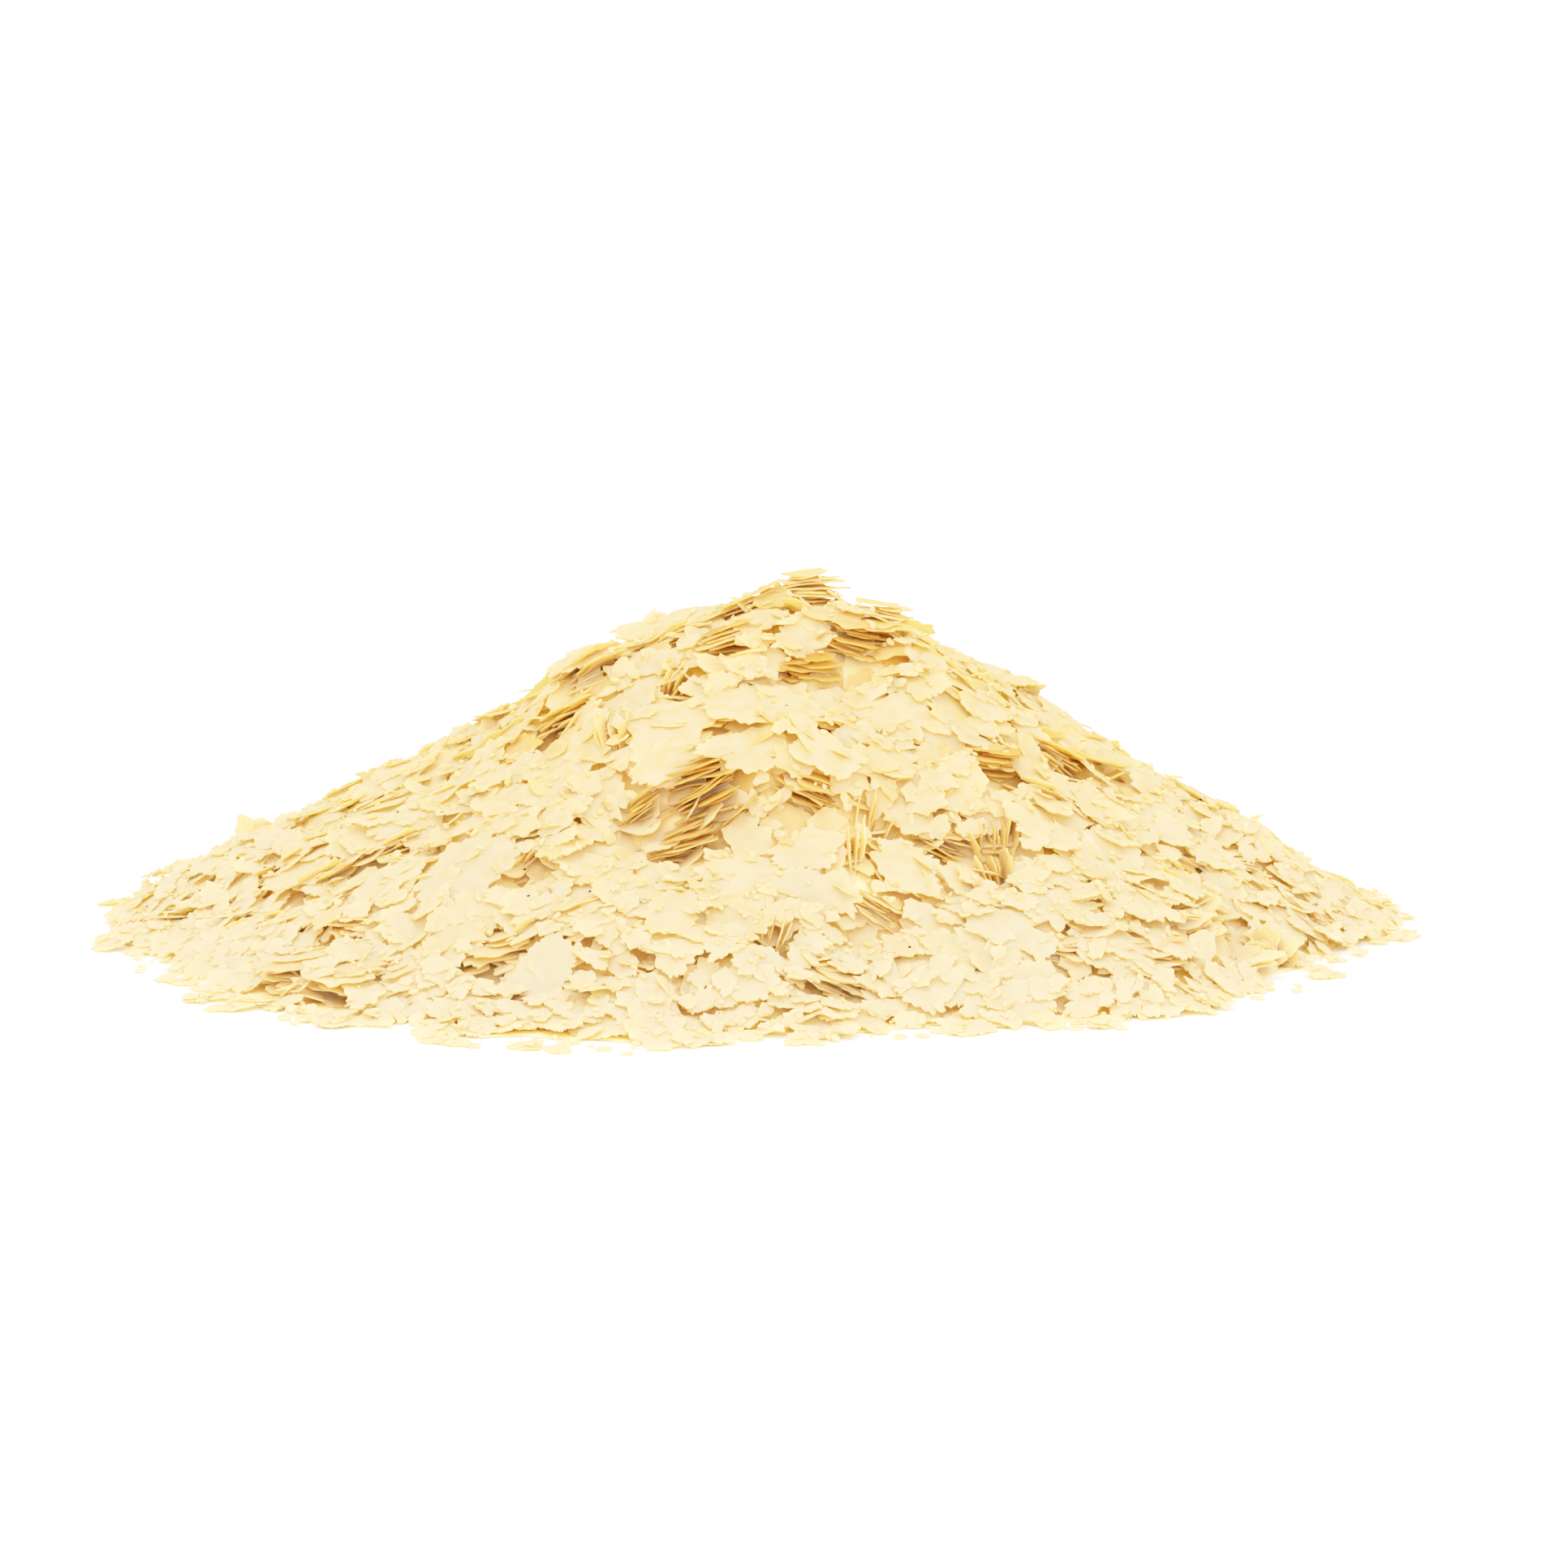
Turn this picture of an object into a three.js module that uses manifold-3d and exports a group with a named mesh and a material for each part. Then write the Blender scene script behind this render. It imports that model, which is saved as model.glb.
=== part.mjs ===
// A heap of potato flakes: mashed potato dried on a drum into a thin brittle sheet, broken into flakes
// and poured on a table. Millimetres, +Z up, the table at z = 0, the front of the heap towards -Y.
// The heap is one solid: a smaller core with the flakes that show fused to it.
import * as THREE from "three";
import { mergeVertices } from "three/addons/utils/BufferGeometryUtils.js";
import Module from "manifold-3d";

// ---- Driving dimensions ----
const HEAP_RADIUS = 56.5; // middle of the foot to its edge
const HEAP_HEIGHT = 29; // table to the top of the heap, below the flakes that stand proud
const PEAK_SHIFT = { x: 4, y: 1.5 }; // the peak stands right of and behind the middle of the foot
const PEAK_ROUNDING = 0.2; // share of the radius over which the peak is rounded
const SLOPE_SAG = 0.13; // how far the slope hangs in below a straight cone, as a share of the height
const FLAKE_THICKNESS = 0.25; // the dried sheet
const CORE_REACH = 0.94; // the core's edge, as a share of the foot's radius
const CORE_INSET = 0.6; // how far the core lies under the heap's surface
const FOOT_THICKNESS = 0.4; // the core at its edge
const TABLE_DEPTH = 4; // how far the uncut core reaches below the table

// The core's mesh
const CORE_RINGS = 8;
const CORE_SECTORS = 28;
const CORE_ROUGHNESS = 0.25; // how far a point of the core is moved up or down

// Flakes on the slope by size, the largest first: how many, how long, and the corners of each
const FLAKE_TIERS = [
  { count: 56, length: 10.4, corners: 5 },
  { count: 86, length: 8.8, corners: 5 },
  { count: 92, length: 7.4, corners: 4 },
];
const SLOPE_REACH = 0.9; // the outermost middles of these flakes, as a share of the radius
// Flakes on the table round the foot, whose middles lie between two shares of the radius
const FOOT_FLAKES = { count: 50, length: 8, corners: 5, shares: [0.915, 0.975], tilt: [2, 9] };

const LENGTH_SPREAD = 0.12; // each way, as a share of the length
const NARROWEST = 0.6; // width of the narrowest flake, as a share of its length
const RAGGEDNESS = 0.2; // how far a corner falls short of the outline, as a share of its radius
const BEND = 0.07; // sag of a curled flake over half its length, as a share of that length
const LYING_TILT = [5, 19]; // degrees between a lying flake and the slope
const STANDING_TILT = [32, 62]; // degrees, for the flakes that stand out of the slope
const STANDING_SHARE = 0.13;
const SHINGLED_SHARE = 0.65; // lying flakes whose raised edge is the lower one
const PROUD = [0.3, 0.95]; // how far a flake's middle lies above the core

// Where the foot runs out further than a circle, or is drawn in: heading and spread in degrees
const FOOT_LOBES = [
  { name: "back left", heading: 160, spread: 24, reach: 3.4 },
  { name: "front left", heading: -142, spread: 26, reach: 3.4 },
  { name: "front middle", heading: -102, spread: 9, reach: 1.5 },
  { name: "front right, drawn in", heading: -76, spread: 18, reach: -4.8 },
  { name: "right corner", heading: -50, spread: 9, reach: 1.5 },
  { name: "right, drawn in", heading: -25, spread: 15, reach: -3.2 },
];

// Humps and hollows of the slope: where, how wide, and how high (negative for a hollow)
const FORMS = [
  { name: "left shoulder", x: -12.5, y: -1, radius: 8, rise: 2.6 },
  { name: "right shoulder", x: 13.5, y: -1, radius: 5, rise: 1.3 },
  { name: "dip left of the peak", x: -8, y: 1, radius: 3.5, rise: -1.4 },
  { name: "dip right of the peak", x: 8, y: 2, radius: 4, rise: -1.2 },
  { name: "left flank, drawn in", x: -26, y: 1, radius: 6, rise: -1.5 },
  { name: "right flank, drawn in", x: 20, y: 1, radius: 6, rise: -1.9 },
  { name: "right flank, lower", x: 30, y: 0, radius: 6, rise: -1.7 },
  { name: "brow over the front hollow", x: -3, y: -21, radius: 7, rise: 1.8 },
  { name: "front hollow", x: -5, y: -28, radius: 5, rise: -3.2 },
  { name: "left hollow", x: -22, y: -35, radius: 3.5, rise: -2.0 },
  { name: "lower hollow", x: 4.5, y: -38, radius: 4, rise: -2.2 },
  { name: "upper hollow", x: 5, y: -12, radius: 3.5, rise: -1.8 },
  { name: "right hollow", x: 20, y: -29, radius: 4, rise: -1.8 },
  { name: "back hump", x: 8, y: 26, radius: 9, rise: 1.8 },
  { name: "back hollow", x: -12, y: 30, radius: 6, rise: -2.2 },
];
const LUMP_HEIGHT = 0.5; // height of the small lumps that cover the whole slope
const LUMP_LENGTHS = [8, 11, 15, 19]; // distances from lump to lump

const FLAKE_COLOUR = "#fbebbf";
const FULL_TURN = 2 * Math.PI;
const GOLDEN_ANGLE = Math.PI * (3 - Math.sqrt(5));
const UP = new THREE.Vector3(0, 0, 1);

// ---- Seeded random numbers ----
function seededRandom(seed) {
  let state = seed;
  return () => {
    state = (state + 0x6d2b79f5) | 0;
    let mixed = Math.imul(state ^ (state >>> 15), 1 | state);
    mixed = (mixed + Math.imul(mixed ^ (mixed >>> 7), 61 | mixed)) ^ mixed;
    return ((mixed ^ (mixed >>> 14)) >>> 0) / 4294967296;
  };
}
const random = seededRandom(5);
const between = (low, high) => low + (high - low) * random();

// ---- The heap's surface ----
const LUMPS = LUMP_LENGTHS.flatMap((length) =>
  [0, 1].map(() => ({
    heading: between(0, FULL_TURN),
    phase: between(0, FULL_TURN),
    pace: FULL_TURN / length,
  })),
);

// The foot's radius at a heading: nearly a circle, with its lobes and a small waver all round
function footRadius(heading) {
  const lobes = FOOT_LOBES.reduce((sum, lobe) => {
    const turn = heading - THREE.MathUtils.degToRad(lobe.heading);
    const away = Math.atan2(Math.sin(turn), Math.cos(turn)) / THREE.MathUtils.degToRad(lobe.spread);
    return sum + lobe.reach * Math.exp(-away * away);
  }, 0);
  const waver = 0.006 * Math.cos(7 * heading + 2.1) + 0.006 * Math.cos(13 * heading + 0.4);
  return lobes + HEAP_RADIUS * (1 + waver);
}

// How far out a place lies, from 0 at the peak to 1 at the edge of the foot. The rings that share a
// height move over from the foot's middle to the peak as they narrow.
function outwardShare(x, y) {
  let share = Math.hypot(x, y) / footRadius(Math.atan2(y, x));
  for (let pass = 0; pass < 3; pass += 1) {
    const left = x - PEAK_SHIFT.x * (1 - Math.min(share, 1));
    const back = y - PEAK_SHIFT.y * (1 - Math.min(share, 1));
    share = Math.hypot(left, back) / footRadius(Math.atan2(back, left));
  }
  return share;
}

// The slope from peak to edge, as a share of the height: a rounded peak on a slightly hollow cone
function slopeShare(share) {
  const rounded = Math.hypot(share, PEAK_ROUNDING) - PEAK_ROUNDING;
  const whole = Math.hypot(1, PEAK_ROUNDING) - PEAK_ROUNDING;
  return 1 - rounded / whole - SLOPE_SAG * share * (1 - share);
}

function relief(x, y) {
  const forms = FORMS.reduce((sum, form) => {
    const away = Math.hypot(x - form.x, y - form.y) / form.radius;
    return sum + form.rise * Math.exp(-away * away);
  }, 0);
  const lumps = LUMPS.reduce((sum, lump) => {
    const along = x * Math.cos(lump.heading) + y * Math.sin(lump.heading);
    return sum + Math.cos(along * lump.pace + lump.phase);
  }, 0);
  return forms + (LUMP_HEIGHT * lumps) / Math.sqrt(LUMPS.length);
}

// Height of the core's surface over the table. The relief fades out towards the edge.
function coreHeight(x, y) {
  const share = outwardShare(x, y) / CORE_REACH;
  const fade = THREE.MathUtils.smoothstep(1 - share, 0, 0.14);
  const surface = HEAP_HEIGHT * slopeShare(share) + fade * (relief(x, y) - CORE_INSET);
  return Math.max(surface, FOOT_THICKNESS);
}

function coreNormal(x, y) {
  const step = 1.5;
  const riseX = coreHeight(x + step, y) - coreHeight(x - step, y);
  const riseY = coreHeight(x, y + step) - coreHeight(x, y - step);
  return new THREE.Vector3(-riseX, -riseY, 2 * step).normalize();
}

// ---- Solids ----
const wasm = await Module();
wasm.setup();

function solidOf(geometry) {
  geometry.deleteAttribute("normal");
  geometry.deleteAttribute("uv");
  const merged = mergeVertices(geometry, 1e-4);
  const vertProperties = merged.attributes.position.array;
  const triVerts = Uint32Array.from(merged.index.array);
  return new wasm.Manifold(new wasm.Mesh({ numProp: 3, vertProperties, triVerts }));
}

// How rough the core is at a place: a steep wave that no two neighbouring points share
function coreRoughness(x, y) {
  return CORE_ROUGHNESS * Math.sin(12.9 * x + 4.1 * y) * Math.cos(7.3 * x - 9.7 * y);
}

// The core: a lathe turned from peak to edge, whose points are then moved to the foot's uneven outline
// and lifted to the core's surface.
function makeCore() {
  const profile = [new THREE.Vector2(0, -TABLE_DEPTH), new THREE.Vector2(1, -TABLE_DEPTH)];
  for (let ring = CORE_RINGS; ring > 0; ring -= 1) {
    profile.push(new THREE.Vector2(ring / CORE_RINGS, 0));
  }
  profile.push(new THREE.Vector2(0, 0));
  const core = new THREE.LatheGeometry(profile, CORE_SECTORS).rotateX(Math.PI / 2);
  const points = core.attributes.position;
  for (let i = 0; i < points.count; i += 1) {
    const share = CORE_REACH * Math.hypot(points.getX(i), points.getY(i));
    const heading = Math.atan2(points.getY(i), points.getX(i));
    const x = share * footRadius(heading) * Math.cos(heading) + PEAK_SHIFT.x * (1 - share);
    const y = share * footRadius(heading) * Math.sin(heading) + PEAK_SHIFT.y * (1 - share);
    const below = points.getZ(i) < -TABLE_DEPTH / 2;
    points.setXYZ(i, x, y, below ? -TABLE_DEPTH : coreHeight(x, y) + coreRoughness(x, y));
  }
  return solidOf(core);
}

// A flake lying flat at the origin: a ragged outline cut from the sheet, curled about one line
function makeFlake(length, corners) {
  const width = length * between(NARROWEST, 1);
  const outline = [];
  for (let corner = 0; corner < corners; corner += 1) {
    const turn = ((corner + between(-0.25, 0.25)) / corners) * FULL_TURN;
    const radius = 0.5 * (1 - RAGGEDNESS * random());
    outline.push(new THREE.Vector2(length * radius * Math.cos(turn), width * radius * Math.sin(turn)));
  }
  const flake = new THREE.ExtrudeGeometry(new THREE.Shape(outline), {
    depth: FLAKE_THICKNESS,
    steps: 1,
    bevelEnabled: false,
  });
  const curl = between(-1, 1) * BEND;
  const curlHeading = between(0, Math.PI);
  const points = flake.attributes.position;
  for (let i = 0; i < points.count; i += 1) {
    const across = points.getX(i) * Math.cos(curlHeading) + points.getY(i) * Math.sin(curlHeading);
    points.setZ(i, points.getZ(i) + (curl * across * across) / (length / 4));
  }
  return flake.rotateZ(between(0, FULL_TURN));
}

// A flake moved to a middle, its face along the normal but leaning towards a heading by the tilt
function layFlake(flake, middle, normal, leanHeading, tilt) {
  const lean = new THREE.Vector3(Math.cos(leanHeading), Math.sin(leanHeading), 0);
  lean.projectOnPlane(normal).setLength(Math.tan(THREE.MathUtils.degToRad(tilt)));
  const face = normal.clone().add(lean).normalize();
  flake.applyQuaternion(new THREE.Quaternion().setFromUnitVectors(UP, face));
  flake.translate(middle.x, middle.y, middle.z);
  return solidOf(flake);
}

function placeAt(share, heading) {
  const radius = share * footRadius(heading);
  return { x: radius * Math.cos(heading), y: radius * Math.sin(heading) };
}

function flakeLength(length) {
  return length * between(1 - LENGTH_SPREAD, 1 + LENGTH_SPREAD);
}

// One tier of flakes on the slope, spread evenly by the golden angle
function makeSlopeFlakes({ count, length, corners }, tierIndex) {
  const flakes = [];
  for (let i = 0; i < count; i += 1) {
    const heading = i * GOLDEN_ANGLE + tierIndex * 1.3;
    const { x, y } = placeAt(SLOPE_REACH * Math.sqrt((i + 0.5) / count), heading);
    const standing = random() < STANDING_SHARE;
    const tilt = standing ? between(...STANDING_TILT) : between(...LYING_TILT);
    const shingled = !standing && random() < SHINGLED_SHARE;
    const leanHeading = shingled ? heading + Math.PI + between(-0.5, 0.5) : between(0, FULL_TURN);
    const normal = coreNormal(x, y);
    const middle = new THREE.Vector3(x, y, coreHeight(x, y)).addScaledVector(normal, between(...PROUD));
    flakes.push(layFlake(makeFlake(flakeLength(length), corners), middle, normal, leanHeading, tilt));
  }
  return flakes;
}

// The ring of flakes round the foot, lying on the table and leaning on the edge of the core
function makeFootFlakes({ count, length, corners, shares, tilt }) {
  const flakes = [];
  for (let i = 0; i < count; i += 1) {
    const heading = ((i + between(-0.2, 0.2)) / count) * FULL_TURN;
    const { x, y } = placeAt(between(...shares), heading);
    const lean = between(...tilt);
    const flakeLong = flakeLength(length);
    const z = 0.35 * flakeLong * Math.sin(THREE.MathUtils.degToRad(lean));
    flakes.push(layFlake(makeFlake(flakeLong, corners), new THREE.Vector3(x, y, z), UP, heading, lean));
  }
  return flakes;
}

// Everything above the table
function makeRoomAboveTable() {
  const side = 4 * HEAP_RADIUS;
  return solidOf(new THREE.BoxGeometry(side, side, side).translate(0, 0, side / 2));
}

// The core and its flakes as one solid that stands flat on the table. Hollows that the flakes seal are
// filled, and scraps that touch nothing are dropped, by keeping the outer skin of the largest body.
function makeHeap() {
  const pieces = [makeCore(), ...FLAKE_TIERS.flatMap(makeSlopeFlakes), ...makeFootFlakes(FOOT_FLAKES)];
  const joined = wasm.Manifold.union(pieces).intersect(makeRoomAboveTable());
  const bodies = joined.decompose();
  const heap = bodies.reduce((largest, body) => (body.volume() > largest.volume() ? body : largest));
  const mesh = heap.getMesh();
  return new THREE.BufferGeometry()
    .setAttribute("position", new THREE.BufferAttribute(mesh.vertProperties, 3))
    .setIndex(new THREE.BufferAttribute(mesh.triVerts, 1));
}

const flakeMaterial = new THREE.MeshStandardMaterial({ color: FLAKE_COLOUR, roughness: 0.8, metalness: 0 });
const heap = new THREE.Mesh(makeHeap(), flakeMaterial);
heap.name = "potato_flakes";

const part = new THREE.Group();
part.add(heap);

export default part;
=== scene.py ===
# A heap of potato flakes on a white table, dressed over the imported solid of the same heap.
# Metres in Blender and millimetres in the arrays below, +Z up, the front of the heap towards -Y.
import math

import bpy
import numpy as np
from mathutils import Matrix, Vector
from mathutils.bvhtree import BVHTree


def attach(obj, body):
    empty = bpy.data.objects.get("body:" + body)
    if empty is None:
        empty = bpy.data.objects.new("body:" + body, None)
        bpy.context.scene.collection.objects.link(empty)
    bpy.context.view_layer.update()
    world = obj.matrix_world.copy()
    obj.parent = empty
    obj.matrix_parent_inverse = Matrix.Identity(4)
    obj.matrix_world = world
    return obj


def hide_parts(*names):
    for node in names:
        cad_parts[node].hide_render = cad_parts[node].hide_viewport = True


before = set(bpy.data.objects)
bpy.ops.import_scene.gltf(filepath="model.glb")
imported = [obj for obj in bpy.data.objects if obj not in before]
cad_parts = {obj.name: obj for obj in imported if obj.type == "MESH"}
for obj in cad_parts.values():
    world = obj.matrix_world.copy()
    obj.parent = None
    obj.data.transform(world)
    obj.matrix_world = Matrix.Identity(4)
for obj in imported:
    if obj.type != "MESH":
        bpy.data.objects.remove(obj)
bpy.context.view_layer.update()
MM = 0.001


# ---- The table, the light and the camera ----
# The heap stands on a white table in a white room, lit softly from above and in front, and is seen from
# just above the table through a long lens.
def linear(hex_colour):
    """An sRGB hex value as the linear colour that a shader takes."""
    channels = [int(hex_colour[i : i + 2], 16) / 255 for i in (1, 3, 5)]
    steps = [c / 12.92 if c <= 0.04045 else ((c + 0.055) / 1.055) ** 2.4 for c in channels]
    return (*steps, 1.0)


def add_node(material, kind, settings=None, **inputs):
    """A shader node with its settings; each input takes a number, a colour or another node's socket."""
    node = material.node_tree.nodes.new(kind)
    for name, value in (settings or {}).items():
        setattr(node, name, value)
    for name, value in inputs.items():
        socket = node.inputs[int(name[1:])] if name[1:].isdigit() else node.inputs[name.replace("_", " ")]
        if isinstance(value, bpy.types.NodeSocket):
            material.node_tree.links.new(value, socket)
        else:
            socket.default_value = value
    return node


def new_material(name):
    """A material with nothing in it but its output."""
    material = bpy.data.materials.new(name)
    material.use_nodes = True
    material.node_tree.nodes.clear()
    return material


def mesh_object(name, points, faces):
    """A mesh of triangles from its points in millimetres and its faces, as one object."""
    mesh = bpy.data.meshes.new(name)
    mesh.vertices.add(len(points))
    mesh.vertices.foreach_set("co", np.asarray(points, np.float32).ravel() * MM)
    mesh.loops.add(faces.size)
    mesh.loops.foreach_set("vertex_index", faces.astype(np.int32).ravel())
    mesh.polygons.add(len(faces))
    mesh.polygons.foreach_set("loop_start", np.arange(0, faces.size, 3, dtype=np.int32))
    mesh.update(calc_edges=True)
    piece = bpy.data.objects.new(name, mesh)
    bpy.context.scene.collection.objects.link(piece)
    return piece


TABLE_SIDE = 3000
TABLE_DROP = 0.03  # the table top lies this far under the heap's underside, so that they don't flicker
half = TABLE_SIDE / 2
table_points = [[x, y, -TABLE_DROP] for x, y in ((-half, -half), (half, -half), (half, half), (-half, half))]
table = mesh_object("table", table_points, np.array([[0, 1, 2], [0, 2, 3]]))
# White laminate, satin and without grain, so that it shows nothing but the light and the heap's soft shadow
white_laminate = new_material("white_laminate")
laminate = add_node(
    white_laminate, "ShaderNodeBsdfPrincipled", Base_Color=linear("#fbfbfb"), Roughness=0.6
)
add_node(white_laminate, "ShaderNodeOutputMaterial", Surface=laminate.outputs[0])
table.data.materials.append(white_laminate)

world = bpy.data.worlds.new("white_room")
world.use_nodes = True
world.node_tree.nodes["Background"].inputs["Color"].default_value = (1, 1, 1, 1)
world.node_tree.nodes["Background"].inputs["Strength"].default_value = 1.0
bpy.context.scene.world = world

# The photograph's tones: a bright exposure that a soft shoulder brings down to white
SHOULDER = 2.7
view = bpy.context.scene.view_settings
view.view_transform = "Standard"
view.use_curve_mapping = True
tones = view.curve_mapping.curves[3]  # the one for all three channels
for level in (0.02, 0.05, 0.1, 0.2, 0.3, 0.45, 0.6, 0.8):
    tones.points.new(level, (1 - math.exp(-SHOULDER * level)) / (1 - math.exp(-SHOULDER)))
view.curve_mapping.update()


def add_softbox(name, place, width, power):
    """A square softbox at a place in metres, turned to the middle of the heap."""
    light = bpy.data.lights.new(name, "AREA")
    light.size = width
    light.energy = power
    lamp = bpy.data.objects.new(name, light)
    lamp.location = place
    lamp.rotation_euler = (Vector((0, 0, 0.01)) - lamp.location).to_track_quat("-Z", "Y").to_euler()
    bpy.context.scene.collection.objects.link(lamp)


add_softbox("overhead_softbox", Vector((-0.15, -0.1, 0.9)), width=0.6, power=2.2)
add_softbox("front_softbox", Vector((0.25, -0.9, 0.45)), width=0.5, power=1.6)

CAMERA_DISTANCE = 0.5
CAMERA_ELEVATION = math.radians(9.3)
CAMERA_AIM = Vector((0.0014, 0, 0.012))
PHOTO_WIDTH = 1932  # pixels
PIXEL_SIZE = 0.07 * MM  # what a pixel takes in at the middle of the heap
SENSOR_WIDTH = 36
camera_data = bpy.data.cameras.new("camera")
camera_data.sensor_width = SENSOR_WIDTH
camera_data.lens = SENSOR_WIDTH * CAMERA_DISTANCE / (PIXEL_SIZE * PHOTO_WIDTH)
camera_data.clip_start = 0.01
camera = bpy.data.objects.new("camera", camera_data)
camera.location = CAMERA_AIM + CAMERA_DISTANCE * Vector(
    (0, -math.cos(CAMERA_ELEVATION), math.sin(CAMERA_ELEVATION))
)
camera.rotation_euler = (CAMERA_AIM - camera.location).to_track_quat("-Z", "Y").to_euler()
bpy.context.scene.collection.objects.link(camera)
bpy.context.scene.camera = camera


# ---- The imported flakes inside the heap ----
# Under the flakes that show, the heap is the same flakes pressed together, too deep for light to reach.
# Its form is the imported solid's, read from above, smoothed and lowered by the loose layer's depth.
GRID_HALF = 64  # the height maps reach this far from the middle of the heap
GRID_STEP = 0.4
RAY_STEP = 1.0  # from ray to ray where the solid is read
FORM_SMOOTHING = 1.3  # standard deviation of the smoothing
HEAP_EDGE = 0.3  # the heap is where its smoothed form is higher than this
FOOT_HEIGHT = 0.25  # no hollow goes lower than this, and the foot ends where the form falls below it
RANDOM_DIPS = 18
LOOSE_DEPTH = 2.7  # depth of the layer of loose flakes over the core
THINNEST_CORE = 0.12
CORE_REACH = 0.93  # the core's edge, as a share of the foot's radius
CORE_RINGS = 44
CORE_SECTORS = 120

cad_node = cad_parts["potato_flakes"]
cad_tree = BVHTree.FromObject(cad_node, bpy.context.evaluated_depsgraph_get())
ray_line = np.arange(-GRID_HALF, GRID_HALF + RAY_STEP / 2, RAY_STEP)


def cad_height(x, y):
    """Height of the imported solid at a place, from above, or 0 beside it."""
    hit = cad_tree.ray_cast(Vector((x, y, 100)) * MM, Vector((0, 0, -1)))[0]
    return hit.z / MM if hit else 0.0


def smoothed(field, deviation):
    """The field after a Gaussian blur, its deviation in cells."""
    reach = int(3 * deviation) + 1
    weights = np.exp(-0.5 * (np.arange(-reach, reach + 1) / deviation) ** 2)
    weights /= weights.sum()
    for axis in (0, 1):
        field = np.apply_along_axis(np.convolve, axis, field, weights, mode="same")
    return field


def read_grid(grid, step, x, y):
    """The grid's value at places between its points, weighted by distance."""
    column = np.clip((np.asarray(x) + GRID_HALF) / step, 0, grid.shape[0] - 1.001)
    row = np.clip((np.asarray(y) + GRID_HALF) / step, 0, grid.shape[1] - 1.001)
    i, j = column.astype(int), row.astype(int)
    a, b = column - i, row - j
    near = grid[i, j] * (1 - a) * (1 - b) + grid[i + 1, j] * a * (1 - b)
    return near + grid[i, j + 1] * (1 - a) * b + grid[i + 1, j + 1] * a * b


coarse = smoothed(np.array([[cad_height(x, y) for y in ray_line] for x in ray_line]), FORM_SMOOTHING)
grid_line = np.arange(-GRID_HALF, GRID_HALF + GRID_STEP / 2, GRID_STEP)
grid_x, grid_y = np.meshgrid(grid_line, grid_line, indexing="ij")
form = read_grid(coarse, RAY_STEP, grid_x, grid_y)

# Hollows where loose flakes have slipped away and bumps where they have piled up: place x, y, rise, and
# half width along x and along y
RELIEF = {
    "under_the_brow": (-4.4, -26.3, -2.8, 5.4, 1.7),
    "left_of_the_brow": (-10.4, -26.2, -2.6, 2.4, 1.3),
    "beside_the_brow": (9.4, -24.4, -2.0, 2.2, 1.5),
    "below_the_peak": (5.4, -9.9, -1.1, 2.4, 1.3),
    "right_of_the_peak": (12.1, -18.4, -1.7, 2.2, 1.5),
    "behind_the_curl": (5.6, -34.6, -1.3, 1.8, 1.5),
    "low_in_front": (0.6, -39.0, -1.3, 1.4, 1.6),
    "left": (-20.0, -29.0, -1.6, 1.8, 1.4),
    "right": (36.4, -14.7, -1.7, 1.6, 1.7),
    "low_right": (14.7, -34.7, -1.3, 1.8, 1.3),
    "by_the_fan": (16.6, -26.2, -1.2, 2.6, 1.5),
    "peak": (2.5, 0.5, 0.5, 5.0, 3.5),
    "left_slope": (-42.0, 1.0, 2.6, 13.0, 10.0),
    "right_slope": (38.0, 1.0, 1.9, 13.0, 10.0),
    "right_of_the_top": (8.0, 0.5, -0.8, 2.0, 4.0),
    "right_shoulder": (19.5, 1.0, -1.2, 3.0, 6.0),
    "left_end": (-52.0, 0.0, 0.9, 6.0, 10.0),
    "right_end": (49.0, 0.0, 1.0, 6.0, 10.0),
}
rng = np.random.default_rng(11)
forms = list(RELIEF.values())
low_x, low_y = grid_x[form > 1.5], grid_y[form > 1.5]
for _ in range(RANDOM_DIPS):
    spot = rng.integers(0, len(low_x))
    forms.append((low_x[spot], low_y[spot], rng.uniform(-1.4, -0.6), *rng.uniform(1.0, 2.2, 2)))
for x, y, rise, half_x, half_y in forms:
    change = rise * np.exp(-(((grid_x - x) / half_x) ** 2) - ((grid_y - y) / half_y) ** 2)
    form = np.where(form > HEAP_EDGE, np.maximum(form + change, FOOT_HEIGHT), form)

# Where the foot ends at each heading, found by walking inwards from far outside to well inside it
WELL_INSIDE = 20
WALK_STEP = 0.25
core_headings = np.arange(CORE_SECTORS) * 2 * math.pi / CORE_SECTORS
walk = np.arange(GRID_HALF - 1, WELL_INSIDE, -WALK_STEP)
walk_heights = read_grid(
    form, GRID_STEP, walk[:, None] * np.cos(core_headings), walk[:, None] * np.sin(core_headings)
)
foot_edge = walk[np.argmax(walk_heights > FOOT_HEIGHT, axis=0)]

core_shares = CORE_REACH * (np.arange(1, CORE_RINGS + 1) / CORE_RINGS)
core_x = core_shares[:, None] * foot_edge * np.cos(core_headings)
core_y = core_shares[:, None] * foot_edge * np.sin(core_headings)
core_height = np.maximum(read_grid(form, GRID_STEP, core_x, core_y) - LOOSE_DEPTH, THINNEST_CORE)
top_rings = np.stack([core_x, core_y, core_height], axis=-1).reshape(-1, 3)
rim_below = np.stack([core_x[-1], core_y[-1], np.zeros(CORE_SECTORS)], axis=-1)
peak = [[0, 0, float(read_grid(form, GRID_STEP, 0, 0)) - LOOSE_DEPTH]]
core_points = np.concatenate([peak, top_rings, rim_below, [[0, 0, 0]]])
around = np.arange(CORE_SECTORS)
ahead = (around + 1) % CORE_SECTORS
core_faces = [np.stack([np.zeros_like(around), 1 + around, 1 + ahead], axis=1)]
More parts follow.
